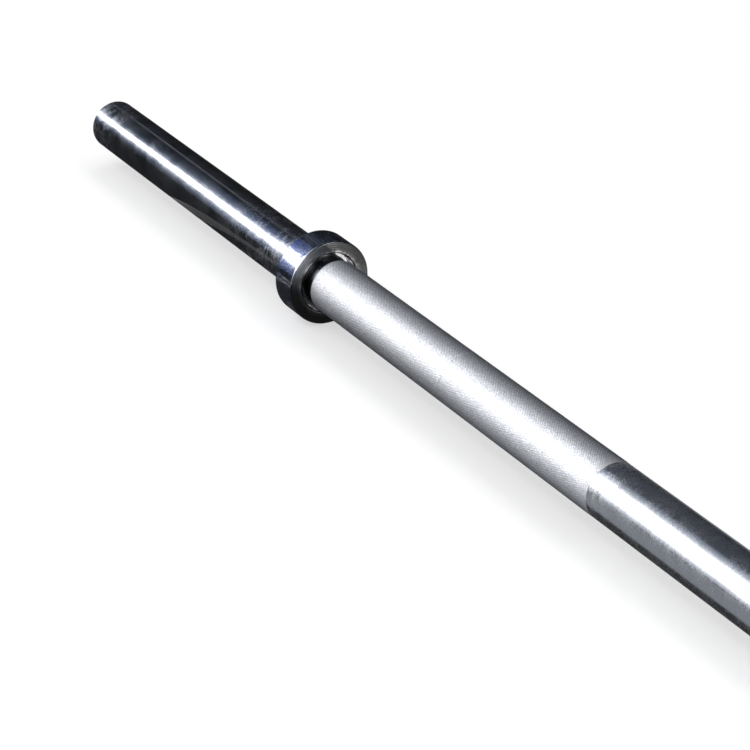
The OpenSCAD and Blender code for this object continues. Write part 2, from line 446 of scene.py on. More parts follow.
@shader_group(Lines=4000.0, Softness=0.7)
def tool_marks(tree, vector, lines, softness):
    """Fine lines left by the tool: circles on a face, rings round a cylinder"""
    place = tree.parts(vector)
    radius = tree.math("SQRT", tree.plus(*(tree.times(place[axis], place[axis]) for axis in "YZ")))
    masks = {"Radius": radius}
    for key, along in (("On Face", radius), ("On Cylinder", place["X"])):
        masks[key] = tree.add("ShaderNodeTexNoise", {
            "W": along, "Scale": lines, "Detail": 4.0, "Roughness": softness,
        }, noise_dimensions="1D").outputs["Fac"]
    return masks


@shader_group(Scale=18.0, Mottling=0.35)
def film(tree, vector, scale, mottling):
    """Cloudy film that handling leaves on bright metal, from broad patches and finer mottling"""
    broad = tree.noise(vector, scale, 2.0)
    fine = tree.noise(vector, tree.times(scale, 9.0), 4.0, 0.65)
    rest = tree.math("SUBTRACT", 1.0, mottling)
    both = tree.plus(tree.times(broad, rest), tree.times(fine, mottling))
    return {"Mask": tree.spread(both, 0.34, 0.68)}


@shader_group(Squeeze=(1.0, 1.0, 1.0), Scale=900.0, Cover=0.3)
def hairlines(tree, vector, squeeze, scale, cover):
    """Thin scratches, drawn out along the direction in which the coordinates are squeezed"""
    lines = tree.noise(tree.squeezed(vector, squeeze), scale, 3.0, 0.6)
    sharp = tree.spread(lines, tree.math("SUBTRACT", 0.78, cover), 0.80)
    return {"Mask": tree.times(sharp, tree.spread(tree.noise(vector, 40.0, 1.0), 0.35, 0.65))}


@shader_group(Squeeze=(1.0, 0.25, 0.25), Grain=430.0, Patches=52.0, Scratches=3800.0, Amount=0.5)
def haze(tree, vector, squeeze, grain, patches, scratches, amount):
    """Haze: countless short scratches, half of them drawn out by the squeeze, in broad patches"""
    drawn = tree.squeezed(vector, squeeze)
    strokes = tree.noise(drawn, grain, 2.0, 0.6)
    specks = tree.noise(vector, tree.times(grain, 2.0), 2.0, 0.7)
    cover = tree.spread(tree.times(tree.plus(strokes, specks), 0.5), 0.36, 0.66)
    broad = tree.spread(tree.noise(vector, patches, 4.0, 0.65), 0.40, 0.64, 0.12, 1.0)
    fine = tree.spread(tree.noise(drawn, scratches, 2.0, 0.6), 0.40, 0.60)
    return {"Mask": tree.times(cover, broad, amount, fine)}


@shader_group(Full=0.0, Gone=1.0)
def end_wear(tree, vector, full, gone):
    """Wear that is full at one distance from the bar's middle and fades out at another"""
    patches = tree.spread(tree.noise(vector, 90.0, 3.0), 0.30, 0.60, 0.5, 1.0)
    fade = tree.spread(tree.math("ABSOLUTE", tree.parts(vector)["X"]), full, gone, 1.0, 0.0)
    return {"Mask": tree.times(fade, patches)}


@shader_group(Edge=0.0, Scale=300.0, Wear=0.5)
def edge_wear(tree, vector, edge, scale, wear):
    """Uneven wear on the edges that a piece's own attribute marks"""
    patches = tree.spread(tree.noise(vector, scale, 3.0), 0.3, 0.7)
    return {"Mask": tree.times(edge, tree.times(patches, wear))}


def tone(colour, factor=1.0):
    """Colour with an alpha, its brightness times factor"""
    return tuple(min(1.0, c * factor) for c in colour) + (1.0,)


class Material(Tree):
    """A new material, its nodes, and the shader that it shows."""

    def __init__(self, name):
        self.material = bpy.data.materials.new(name)
        self.material.use_nodes = True
        super().__init__(self.material.node_tree)
        self.shader = self.tree.nodes["Principled BSDF"]

    def link(self, socket, value):
        self.feed(self.shader.inputs[socket], value)

    def show(self, shader):
        self.feed(self.tree.nodes["Material Output"].inputs["Surface"], shader.outputs[0])


class Finish(Material):
    """A Principled material, with its Object coordinates, masks and bump."""

    def __init__(self, name, roughness, metallic=1.0):
        super().__init__(name)
        self.link("Metallic", metallic)
        self.link("Roughness", roughness)
        self.coords = self.coordinates()

    def bump(self, height, distance):
        made = self.add("ShaderNodeBump", {"Height": height, "Distance": distance, "Strength": 1.0})
        self.link("Normal", made.outputs["Normal"])

    def masks(self, name, **inputs):
        """The outputs of a shared group"""
        inputs["Vector"] = self.coords
        return self.add("ShaderNodeGroup", inputs, node_tree=shared(name)).outputs

    def film(self, scale, mottling=0.35):
        return self.masks("Film", Scale=scale, Mottling=mottling)["Mask"]

    def marks(self, lines, softness=0.7):
        return self.masks("Tool Marks", Lines=lines, Softness=softness)

    def hairlines(self, squeeze, scale, cover):
        return self.masks("Hairlines", Squeeze=squeeze, Scale=scale, Cover=cover)["Mask"]

    def edge_wear(self, scale, wear):
        edge = self.attribute("edge")
        return self.masks("Edge Wear", Edge=edge, Scale=scale, Wear=wear)["Mask"]


def polished_chrome(name, colour, tint, roughness, haze, dust, worn=(), pits=0.0, grain=(430.0, 0.25)):
    """Bright plate with haze, a tint in small patches, dust, hairlines, and a slight waviness.

    haze is the most roughness that the haze adds, and dust the part of the light that a dusty patch
    scatters. worn holds pairs of distances from the bar's middle, where the wear of plates is full and
    where it ends. pits is the depth of fine pitting as a part of the waviness, and grain the fineness
    of the haze and how far it is squeezed along the bar's height and depth.
    """
    f = Finish(name, roughness)
    fineness, squeeze = grain
    strokes = (1.0, squeeze, squeeze)
    film = f.film(16.0, 0.5)
    mottle = f.spread(f.film(80.0, 0.8), 0.28, 0.62)
    wear = f.plus(0.0, *(f.masks("End Wear", Full=full, Gone=gone)["Mask"] for full, gone in worn))
    amount = f.plus(f.times(wear, 0.9), 1.5)
    scratched = f.masks("Haze", Squeeze=strokes, Grain=fineness, Amount=amount)["Mask"]
    around = f.hairlines((1.0, 0.01, 0.01), 2400.0, 0.30)
    along = f.hairlines((0.02, 1.0, 1.0), 1400.0, 0.24)
    lines = f.math("MAXIMUM", along, around)
    rubbed = f.edge_wear(260.0, 0.5)
    base = f.mix(mottle, tone(colour), tone(tint))
    base = f.mix(f.times(lines, 0.4), base, tone(colour, 1.12))
    f.link("Base Color", f.mix(rubbed, base, tone(colour, 1.15)))
    f.link("Metallic", f.spread(f.times(film, f.plus(mottle, wear)), 0.0, 1.0, 1.0, 1.0 - dust))
    most = f.plus(f.times(wear, 0.8 * haze), haze)
    hazed = f.math("MINIMUM", f.times(scratched, 0.5), most)
    clean = f.spread(film, 0.0, 1.0, roughness * 0.8, roughness * 1.25)
    f.link("Roughness", f.plus(clean, hazed, f.times(f.plus(lines, rubbed, wear), 0.04)))
    swell, dents = f.noise(f.coords, 70.0, 2.0, 0.5), f.noise(f.coords, 260.0, 3.0, 0.6)
    pitting = f.noise(f.squeezed(f.coords, strokes), 900.0, 2.0, 0.6)
    height = f.plus(swell, f.times(dents, 0.25), f.times(pitting, pits), f.times(lines, 0.05))
    f.bump(height, WAVINESS)
    return f.material


def turned_satin(name, colour, roughness, lines, depth, output):
    """Satin left by the lathe: lines of the tool in tone, roughness and bump, with broad drifts"""
    f = Finish(name, roughness)
    fine, coarse = f.marks(lines)[output], f.marks(lines * 0.16, 0.55)[output]
    film = f.film(30.0)
    cut = f.plus(f.times(fine, 0.6), f.times(coarse, 0.4))
    base = f.mix(f.spread(cut, 0.3, 0.7), tone(colour, 0.80), tone(colour, 1.08))
    base = f.mix(f.times(film, 0.35), base, tone(colour, 0.8))
    f.link("Base Color", f.mix(f.edge_wear(300.0, 0.6), base, tone(colour, 1.2)))
    f.link("Roughness", f.plus(f.spread(cut, 0.3, 0.7, roughness * 1.25, roughness * 0.8),
                               f.times(film, 0.06)))
    f.bump(cut, depth)
    return f.material


def rubbed_face(name, colour, bright, roughness, inner, band):
    """Turned steel, dull and streaked, rubbed bright in patches over a band outside the radius inner"""
    f = Finish(name, roughness)
    fine, coarse = f.marks(3600.0), f.marks(520.0, 0.6)["On Face"]
    patches = f.spread(f.noise(f.coords, 230.0, 4.0, 0.75), 0.39, 0.55)
    rubbed = f.times(patches, f.spread(fine["Radius"], inner, inner + band, 1.0, 0.0))
    rubbed = f.math("MAXIMUM", rubbed, f.edge_wear(400.0, 0.7))
    cut = f.plus(f.times(fine["On Face"], 0.3), f.times(coarse, 0.7))
    base = f.mix(f.spread(cut, 0.38, 0.62), tone(colour, 0.5), tone(colour, 1.5))
    base = f.mix(f.times(f.film(60.0, 0.65), 0.6), base, tone(colour, 0.45))
    f.link("Base Color", f.mix(rubbed, base, tone(bright)))
    f.link("Roughness", f.times(f.spread(cut, 0.3, 0.7, roughness * 1.4, roughness * 0.7),
                                f.spread(rubbed, 0.0, 1.0, 1.0, 0.45)))
    dents = f.noise(f.coords, 380.0, 3.0, 0.7)
    f.bump(f.plus(cut, f.times(rubbed, 0.6), f.times(dents, 8.0)), 0.00001)
    return f.material


def knurl_chrome(name, sizes, finish):
    """Plated knurl: bright crests, grooves in painted shade, a speckle, and painted shade where it
    turns away
    """
    colour, specks, roughness = finish.knurl_colour, finish.speck_and_shade_colour, finish.knurl_roughness
    f = Finish(name, roughness)
    height = f.spread(f.marks(3000.0)["Radius"], sizes.groove_radius, sizes.crest_radius)
    speck = f.spread(f.noise(f.coords, 900.0, 2.0, 0.8), 0.46, 0.53)
    # Painted shade: the grooves take less than half the plate's colour, the crests all of it with the
    # speckle
    base = f.mix(height, tone(colour, 0.42), f.mix(speck, tone(colour, 1.1), tone(specks)))
    base = f.mix(f.times(f.film(22.0, 0.5), 0.25), base, tone(colour, 0.78))
    # Painted shade: the colour falls to a dark speck colour where the facets turn away from the camera
    facing = f.add("ShaderNodeLayerWeight", {"Blend": 0.5}).outputs["Facing"]
    f.link("Base Color", f.mix(f.spread(facing, 0.35, 0.92), base, tone(specks, 0.4)))
    f.link("Roughness", f.plus(f.spread(height, 0.0, 1.0, roughness * 1.5, roughness * 0.85),
                               f.times(speck, 0.08)))
    f.bump(f.noise(f.coords, 1000.0, 2.0), 0.00016)
    return f.material


def bearing_bronze(name, colour):
    """Oil-filled bearing bronze: open pores, warm drifts of tone, and rings from boring"""
    f = Finish(name, 0.34)
    pores = f.spread(f.noise(f.coords, 2200.0, 2.0, 0.6), 0.60, 0.70)
    film = f.film(45.0, 0.5)
    base = f.mix(film, tone(colour), tone(colour, 0.72))
    f.link("Base Color", f.mix(pores, base, tone(colour, 0.3)))
    f.link("Roughness", f.plus(f.spread(film, 0.0, 1.0, 0.28, 0.42), f.times(pores, 0.3)))
    f.bump(f.math("SUBTRACT", f.times(f.marks(2500.0)["On Cylinder"], 0.4), pores), 0.00004)
    return f.material


def blackened_spring(name, colour):
    """Black oxide on spring steel: a thin sheen, browned patches, and bright metal at the edges"""
    f = Finish(name, 0.38, 0.85)
    brown = tuple(part * rise for part, rise in zip(colour, (1.9, 1.6, 1.4)))
    base = f.mix(f.film(120.0, 0.5), tone(colour), tone(brown))
    f.link("Base Color", f.mix(f.edge_wear(700.0, 0.9), base, (0.36, 0.36, 0.37, 1.0)))
    grit = f.noise(f.coords, 4200.0, 3.0)
    f.link("Roughness", f.spread(grit, 0.3, 0.7, 0.30, 0.48))
    f.bump(grit, 0.00002)
    return f.material


def on_cad(node, material):
    """Gives a CAD node that stays its material"""
    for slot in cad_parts[node].material_slots:
        slot.material = material


# Settings


def real(name, description, default, low=0.0, **more):
    return FloatProperty(name=name, description=description, default=default, min=low, **more)


def size(name, description, default):
    return real(name, description, default, precision=5, subtype="DISTANCE", unit="LENGTH")


def count(name, description, default, low, high):
    return IntProperty(name=name, description=description, default=default, min=low, max=high)


def colour(name, description, default):
    return FloatVectorProperty(name=name, description=description, default=default, size=3,
                               subtype="COLOR", min=0.0, soft_max=1.0)


def share(name, description, default, top=1.0):
    return real(name, description, default, max=top, precision=3, subtype="FACTOR")


def turn(name, description, degrees):
    return real(name, description, math.radians(degrees), -math.pi, subtype="ANGLE", unit="ROTATION")


class GripSizes(bpy.types.PropertyGroup):
    centre_radius: size("Smooth centre", "Radius of the smooth centre", 0.025)
    crest_radius: size("Crests", "Radius over the knurl's crests", outer_radius(GRIP_BOX))
    groove_radius: size("Grooves", "Radius at the bottom of the knurl's grooves", 0.02482)
    core_radius: size("Core", "Radius of the tube under the knurl", 0.0246)
    bore_radius: size("Bore", "Radius of the tube's bore", 0.020)
    neck_radius: size("Neck", "Radius of the turned neck", 0.024)
    knurl_start: size("Knurl start", "From the bar's middle to the knurl", 0.2165)
    knurl_length: size("Knurl length", "Length of one knurl along the bar", 0.430)
    knurl_fade: size("Knurl run-out", "Length over which the knurl rises from the centre", 0.0120)
    knurl_rows: count("Rows", "Rows of diamonds along one knurl", 320, 20, 330)
    diamonds: count("Diamonds", "Diamonds round the grip", 100, 24, 104)
    flat_share: share("Flat tops", "Part of a diamond that is flat at its top", 0.34, 0.8)
    crest_scatter: size("Scatter", "Unevenness of the diamonds' tops", 0.000045)
    end_chamfer: size("End chamfer", "Chamfer on the tube's ends", 0.001)
    edge_blend: size("Edge blend", "Size of the rounding on turned edges", 0.00018)
    around: count("Around", "Faces round a turned piece", 288, 96, 360)


class SleeveSizes(bpy.types.PropertyGroup):
    seat_radius: size("Seat", "Radius of the seat that the collar is pressed on", 0.024)
    bore_radius: size("Bore", "Radius of the sleeve's bore", 0.020)
    tip_chamfer: size("Tip chamfer", "Chamfer on the sleeve's outboard end", 0.002)
    tip_blend: size("Tip blend", "Rounding of that chamfer's two edges", 0.0009)
    mouth_radius: size("Mouth", "Radius of the cap's seat in the mouth", 0.021)
    mouth_chamfer: size("Mouth chamfer", "Chamfer inside the mouth", 0.0005)
    groove_play: size("Groove play", "Play of the ring in its groove", 0.0001)
    recess_radius: size("Recess", "Radius of the recess in the collar's inboard face", 0.028)
    recess_depth: size("Recess depth", "Depth of that recess", 0.008)
    rim_chamfer: size("Rim chamfer", "Chamfer on the collar's rims", 0.001)
    stop_gap: size("Stop gap", "Gap round the sleeve in the collar's outboard face", 0.00025)
    cap_dish: size("Cap dish", "Depth of the dish in the end cap", 0.0015)
    cap_rim: size("Cap rim", "Width of the flat rim round the dish", 0.006)
    ring_shift: size("Ring shift", "Shift of the ring's inner circle towards its gap", 0.0006)
    ring_inner: size("Ring inner", "Radius of the ring's inner circle", 0.01965)
    ring_gap: size("Ring gap", "Gap between the ring's lugs", 0.004)
    ring_edge: size("Ring edge", "Rounding of the ring's stamped edges", 0.00022)
    lug_diameter: size("Lug", "Diameter of a lug", 0.0052)
    lug_hole: size("Lug hole", "Diameter of a lug's hole", 0.002)
    lug_inset: size("Lug inset", "From the gap to the middle of a lug", 0.0021)
    edge_blend: size("Edge blend", "Size of the rounding on turned edges", 0.0003)
    around: count("Around", "Faces round a turned piece", 288, 96, 360)


class BarFinish(bpy.types.PropertyGroup):
    centre_colour: colour("Smooth centre", "Plate on the smooth centre", (0.65, 0.66, 0.68))
    centre_tint: colour("Smooth centre tint", "Tinted patches on the smooth centre", (0.53, 0.56, 0.64))
    knurl_colour: colour("Knurl", "Plate on the knurl", (0.80, 0.80, 0.82))
    # This colour gives the knurl's specks, and darkened it gives the painted shade where the knurl
    # turns away
    speck_and_shade_colour: colour("Knurl specks", "Dull specks on the knurl", (0.42, 0.45, 0.52))
    # Painted shade: the neck is nearly black for the shade of the collar's recess round it
    shaded_neck_colour: colour("Neck", "Turned neck", (0.15, 0.153, 0.16))
    sleeve_colour: colour("Sleeve", "Plate on the sleeves", (0.68, 0.69, 0.72))
    sleeve_tint: colour("Sleeve tint", "Tinted patches on the sleeves", (0.40, 0.43, 0.51))
    collar_colour: colour("Collar", "Plate on the collars", (0.80, 0.82, 0.86))
    collar_tint: colour("Collar tint", "Tinted patches on the collars", (0.22, 0.28, 0.53))
    face_colour: colour("Collar face", "Turned face of the collars", (0.16, 0.164, 0.172))
    # Painted shade: the chamfer round the face is nearly black, so that it draws a dark line round the
    # rim
    shaded_rim_colour: colour("Rim", "Chamfered rims of the collars", (0.10, 0.105, 0.115))
    recess_colour: colour("Recess", "Recess in the collars", (0.60, 0.61, 0.63))
    cap_colour: colour("End cap", "Turned face of the end caps", (0.58, 0.58, 0.60))
    spring_colour: colour("Rings", "Blackened retaining rings", (0.030, 0.030, 0.034))
    bronze_colour: colour("Bronze", "Bushes", (0.50, 0.34, 0.16))
    # Painted shade: the thrust washers are darkened for the shade deep in the collar's recess
    shaded_washer_colour: colour("Thrust washers", "Bronze thrust washers under old oil", (0.13, 0.105, 0.08))
    steel_colour: colour("Steel", "Ground steel of the journals", (0.50, 0.51, 0.53))
    centre_roughness: share("Smooth centre roughness", "Roughness of the smooth centre", 0.12)
    knurl_roughness: share("Knurl roughness", "Roughness of the knurl's facets", 0.46)
    sleeve_roughness: share("Sleeve roughness", "Roughness of the sleeves", 0.05)
    face_roughness: share("Face roughness", "Roughness of the turned faces", 0.20)


class Studio(bpy.types.PropertyGroup):
    camera_place: FloatVectorProperty(
        name="Camera", description="Where the camera stands", default=(1.2198, -1.0664, 1.0175),
        size=3, subtype="TRANSLATION", unit="LENGTH", precision=4)
    camera_azimuth: turn("Azimuth", "Turn of the camera about Z, from looking along +Y", 59.290)
    camera_elevation: turn("Elevation", "How far the camera looks down", 27.248)
    camera_lens: real("Lens", "Focal length on a 36 mm frame", 127.466, 20.0, unit="CAMERA")
    floor_colour: colour("Floor", "Pale floor", (0.92, 0.92, 0.92))
    floor_radius: size("Floor radius", "Radius of the floor", 40.0)
    lamp_strength: real("Lamps", "Power of each of the two long lamps", 46.0, subtype="POWER",
                        unit="POWER")
    world_light: share("World", "Even light from all round", 0.50, 2.0)
    panel_light: real("Panel", "Brightness of the lit panel that the metal shows", 6.5)
    gel_place: size("Gel", "How far left of the middle the blue gel hangs", 2.725)
    gel_colour: colour("Gel", "Colour of the panel's edges under the gel", (0.36, 1.0, 4.4))
    panel_colour: colour("Panel edge", "Colour of the lit panel where it fades", (0.62, 0.78, 1.0))


# Pieces


def turned_pair(name, profile, blend, around, materials, slot, node, zones=None):
    """A turned piece at each end, from its profile at the right end, in place of the CAD nodes"""
    for side, sign in SIDES.items():
        corners = [[r, sign * x] for r, x in profile]
        piece = turned(f"{side}_{name}", corners, blend, around, materials, zones)
        dress(piece, f"{side}_sleeve", slot, f"{side}_{node}")


class FATBAR_OT_grip(bpy.types.Operator):
    """Turns the grip tube: smooth centre, core under the knurls, and the two necks"""
    bl_idname = "fatbar.grip"
    bl_label = "Grip Tube"

    def execute(self, context):
        s, finish = context.scene.fat_bar_grip, context.scene.fat_bar_finish
        end = GRIP_BOX[1].x
        start, far = s.knurl_start, s.knurl_start + s.knurl_length
        groove, under = s.groove_radius, s.groove_radius - KNURL_COVER
        run_out = far - (groove - s.neck_radius)
        # Where the centre's lip, its plate and the step down to the core end; how far in the core lies
        lip, plated, step, inset = start - 0.0002, start + 0.0005, start + 0.0012, 0.0016
        half = [
            [s.centre_radius, lip], [groove - SINK, step],
            [s.core_radius, start + inset], [s.core_radius, far - inset],
            [under, run_out - (s.crest_radius - groove)], [under, run_out],
            [s.neck_radius, far], [s.neck_radius, end - s.end_chamfer],
            [s.neck_radius - s.end_chamfer, end], [s.bore_radius, end],
        ]
        whole = [[r, -x] for r, x in reversed(half)] + half
        materials = [
            polished_chrome("Centre Chrome", finish.centre_colour, finish.centre_tint,
                            finish.centre_roughness, 0.16, 0.05, ((start, 0.18),)),
            # The neck's colour holds the painted shade of the collar's recess
            turned_satin("Turned Neck", finish.shaded_neck_colour, 0.16, 5200.0, 0.000012, "On Cylinder"),
        ]
        piece = turned("grip_bar", whole, s.edge_blend, s.around, materials,
                       lambda centres: np.abs(centres[:, 0]) > plated)
        dress(piece, "shaft", "grip_steel", "grip_tube")
        return {"FINISHED"}


class FATBAR_OT_knurls(bpy.types.Operator):
    """Cuts the two knurled stretches, each in two closed bands that meet along a groove"""
    bl_idname = "fatbar.knurls"
    bl_label = "Knurls"

    def execute(self, context):
        s = context.scene.fat_bar_grip
        material = knurl_chrome("Knurl Chrome", s, context.scene.fat_bar_finish)
        middle = s.knurl_rows // 2
        for side, sign in SIDES.items():
            for part, first, last in (("inner", 1, middle), ("outer", middle + 1, s.knurl_rows - 1)):
                verts, faces = knurl_surface(sign, first, last, s)
                piece = build(f"{side}_knurl_{part}", verts, faces, [material])
                dress(piece, "shaft", "grip_steel", "grip_tube")
        return {"FINISHED"}


class FATBAR_OT_sleeves(bpy.types.Operator):
    """Turns the two sleeves that take the plates"""
    bl_idname = "fatbar.sleeves"
    bl_label = "Sleeves"

    def execute(self, context):
        s, finish = context.scene.fat_bar_sleeve, context.scene.fat_bar_finish
        start, tip, r = TUBE_BOX[0].x, TUBE_BOX[1].x, outer_radius(TUBE_BOX)
        stop, cap_seat, ring_wall = COLLAR_BOX[1].x, CAP_BOX[0].x, CAP_BOX[1].x - s.groove_play
        groove_wall, groove_r = RING_BOX[1].x, outer_radius(RING_BOX)
        profile = [
            [s.bore_radius, start], [s.seat_radius, start], [s.seat_radius, stop], [r, stop],
            [r, tip - s.tip_chamfer], [r - s.tip_chamfer, tip],
            [s.mouth_radius + s.mouth_chamfer, tip], [s.mouth_radius, tip - s.mouth_chamfer],
            [s.mouth_radius, groove_wall], [groove_r, groove_wall], [groove_r, ring_wall],
            [s.mouth_radius, ring_wall], [s.mouth_radius, cap_seat], [s.bore_radius, cap_seat],
        ]
        blend = np.full((len(profile), 1), s.edge_blend)
        blend[4:6] = s.tip_blend
        worn = (stop, stop + 0.13), (tip, tip - 0.06)
        chrome = polished_chrome("Sleeve Chrome", finish.sleeve_colour, finish.sleeve_tint,
                                 finish.sleeve_roughness, 0.19, 0.025, worn, 2.2)
        turned_pair("sleeve_skin", profile, blend, s.around, [chrome], "sleeve_chrome", "sleeve_tube")
        return {"FINISHED"}


class FATBAR_OT_collars(bpy.types.Operator):
    """Turns the two collars: a polished rim, and turned faces with a recess round the grip's root"""
    bl_idname = "fatbar.collars"
    bl_label = "Collars"

    def execute(self, context):
        s, finish = context.scene.fat_bar_sleeve, context.scene.fat_bar_finish
        face, stop, r = COLLAR_BOX[0].x, COLLAR_BOX[1].x, outer_radius(COLLAR_BOX)
        floor, stop_bore = face + s.recess_depth, outer_radius(TUBE_BOX) + s.stop_gap
        c = s.rim_chamfer
        profile = [
            [s.seat_radius, floor], [s.recess_radius, floor], [s.recess_radius, face + c],
            [s.recess_radius + c, face], [r - c, face], [r, face + c], [r, stop - c], [r - c, stop],
            [stop_bore, stop], [s.seat_radius, stop - (stop_bore - s.seat_radius)],
        ]
        bright = finish.sleeve_colour
        materials = [
            polished_chrome("Collar Chrome", finish.collar_colour, finish.collar_tint,
                            finish.sleeve_roughness, 0.20, 0.02, (), 1.6, (620.0, 1.0)),
            rubbed_face("Turned Face", finish.face_colour, bright, finish.face_roughness,
                        s.recess_radius, 0.0050),
            rubbed_face("Turned Recess", finish.recess_colour, bright, 0.12, s.recess_radius, 0.001),
            # Painted shade: a nearly black chamfer draws the dark line round the face's rim
            turned_satin("Rim Chamfer", finish.shaded_rim_colour, 0.12, 5200.0, 0.000004, "On Cylinder"),
        ]

        def zones(centres):
            radius, x = np.hypot(centres[:, 1], centres[:, 2]), np.abs(centres[:, 0])
            recess = (radius < s.recess_radius + c / 3) & (x < (floor + stop) / 2)
            chamfer = (radius > r - c) & (radius < r - c / 6) & (x < face + c)
            return np.select([chamfer, recess], [3, 2], radius < r - c)

        turned_pair("stop_collar", profile, s.edge_blend, s.around, materials, "collar_chrome",
                    "collar", zones)
        return {"FINISHED"}


class FATBAR_OT_caps(bpy.types.Operator):
    """Turns the dished end caps"""
    bl_idname = "fatbar.caps"
    bl_label = "End Caps"

    def execute(self, context):
        s, finish = context.scene.fat_bar_sleeve, context.scene.fat_bar_finish
        seat, face, r = CAP_BOX[0].x, CAP_BOX[1].x, outer_radius(CAP_BOX)
        dish, bottom = r - s.cap_rim, face - s.cap_dish
        profile = [
            [0.0, seat], [r, seat], [r, face], [dish, face], [dish - s.cap_dish, bottom], [0.0, bottom],
        ]
        satin = turned_satin("Turned Cap", finish.cap_colour, 0.22, 3000.0, 0.00002, "On Face")
        turned_pair("cap_skin", profile, s.edge_blend, s.around, [satin], "cap_chrome", "end_cap")
        return {"FINISHED"}


class FATBAR_OT_rings(bpy.types.Operator):
    """Shapes the lugged retaining rings in the sleeves' mouths"""
    bl_idname = "fatbar.rings"
    bl_label = "Retaining Rings"

    def execute(self, context):
        material = blackened_spring("Blackened Spring", context.scene.fat_bar_finish.spring_colour)
        right = ring_surface(context.scene.fat_bar_sleeve)
        for side, (verts, faces) in (("right", right), ("left", mirrored(*right))):
            piece = build(f"{side}_mouth_ring", verts, faces, [material])
            piece.data.set_sharp_from_angle(angle=math.radians(40))
            dress(piece, f"{side}_sleeve", "spring_steel", f"{side}_cap_ring")
            on_cad(f"{side}_shaft_ring", material)
        return {"FINISHED"}


class FATBAR_OT_bearings(bpy.types.Operator):
    """Finishes the bearing parts inside the sleeves: journals, bushes and washers"""
    bl_idname = "fatbar.bearings"
    bl_label = "Bearings"

    def execute(self, context):
        finish = context.scene.fat_bar_finish
        bronze = bearing_bronze("Bearing Bronze", finish.bronze_colour)
        steel = finish.steel_colour
        finishes = {
            "inner_bush": bronze,
            "outer_bush": bronze,
            # Painted shade: the thrust washers' bronze is darkened for the shade in the recess
            "thrust_washer": bearing_bronze("Shaded Washer Bronze", finish.shaded_washer_colour),
            "journal": turned_satin("Ground Journal", steel, 0.16, 9000.0, 0.000004, "On Cylinder"),
            "end_washer": turned_satin("Washer Steel", steel, 0.3, 2600.0, 0.00001, "On Face"),
        }
        for side in SIDES:
            for node, material in finishes.items():
                on_cad(f"{side}_{node}", material)
        return {"FINISHED"}


# Studio


def only_in_metal(card):
    """Hides a card from the camera and from dull things: it is there for the metal to show"""
    card.visible_camera = card.visible_shadow = card.visible_diffuse = False
    card.visible_transmission = card.visible_volume_scatter = False


def arc_card(name, low, high, radius, half_length, material, middle=0.0):
    """A card bent round the bar: x along it, y = -radius cos a, z = radius sin a, a from low to high.

    Its attribute across runs from 0 at low to 1 at high.
    """
    a = np.radians(np.linspace(low, high, CARD_ROUND))
    x = middle + np.linspace(-half_length, half_length, CARD_ALONG)[:, None]
    verts = about_axis(x, radius, math.pi - a).reshape(-1, 3)
    across = np.tile(np.linspace(0, 1, CARD_ROUND), CARD_ALONG)
    faces = [grid_faces(CARD_ALONG, CARD_ROUND)]
    only_in_metal(build(name, verts, faces, [material], across=across))


def ribbon(name, middle, half, material):
    """A narrow card along the points middle, reaching half to either side"""
    verts = np.concatenate([middle - half, middle + half])
    only_in_metal(build(name, verts, [grid_faces(2, len(middle))], [material]))


def sheet(name, corners, material):
    """One flat face"""
    return build(name, np.array(corners), [np.arange(len(corners))[None, :]], [material], smooth=False)


def seen(tree):
    """1 for what is seen directly or in metal or glass, 0 for what lights a dull surface"""
    rays = tree.add("ShaderNodeLightPath").outputs
    kinds = ("Is Camera Ray", "Is Glossy Ray", "Is Transmission Ray")
    return reduce(lambda a, b: tree.math("MAXIMUM", a, b), (rays[kind] for kind in kinds))


def floor_material(studio):
    """Pale matt floor. What sees it directly, or in metal or glass, sees it halfway to plain white"""
    f = Finish("Pale Floor", 0.9, 0.0)
    f.link("Base Color", tone(studio.floor_colour))
    f.link("Specular IOR Level", 0.1)
    white = f.add("ShaderNodeEmission", {"Color": (1, 1, 1, 1), "Strength": 1.0}).outputs[0]
    half = f.times(seen(f), 0.5)
    f.show(f.add("ShaderNodeMixShader", {0: half, 1: f.shader.outputs[0], 2: white}))
    return f.material


class Glow(Material):
    """A card's material, which gives an even light until its colour or strength is linked."""

    def __init__(self, name, colour=(1.0, 1.0, 1.0), strength=1.0):
        super().__init__(name)
        self.tree.nodes.remove(self.shader)
        self.shader = self.add("ShaderNodeEmission", {"Color": (*colour, 1.0), "Strength": strength})
        self.show(self.shader)

    def place(self):
        """Place along the bar"""
        return self.parts(self.coordinates())["X"]

    def along(self, x, stations):
        """Value that changes with the place x: each station is a place and the value there"""
        (first, *_), (last, *_) = stations[0], stations[-1]
        most = max(value for _, value in stations)
        stops = [((at - first) / (last - first), (value / most,) * 3) for at, value in stations]
        return self.times(self.ramp(self.spread(x, first, last), stops), most)


def graded(name, tint, stations, fade=1.0):
    """A card whose brightness changes along the bar, and across the card down to a part fade of it"""
    glow = Glow(name, tint)
    across = glow.spread(glow.attribute("across"), 0.0, 1.0, 1.0, fade)
    glow.link("Strength", glow.times(glow.along(glow.place(), stations), across))
    return glow.material


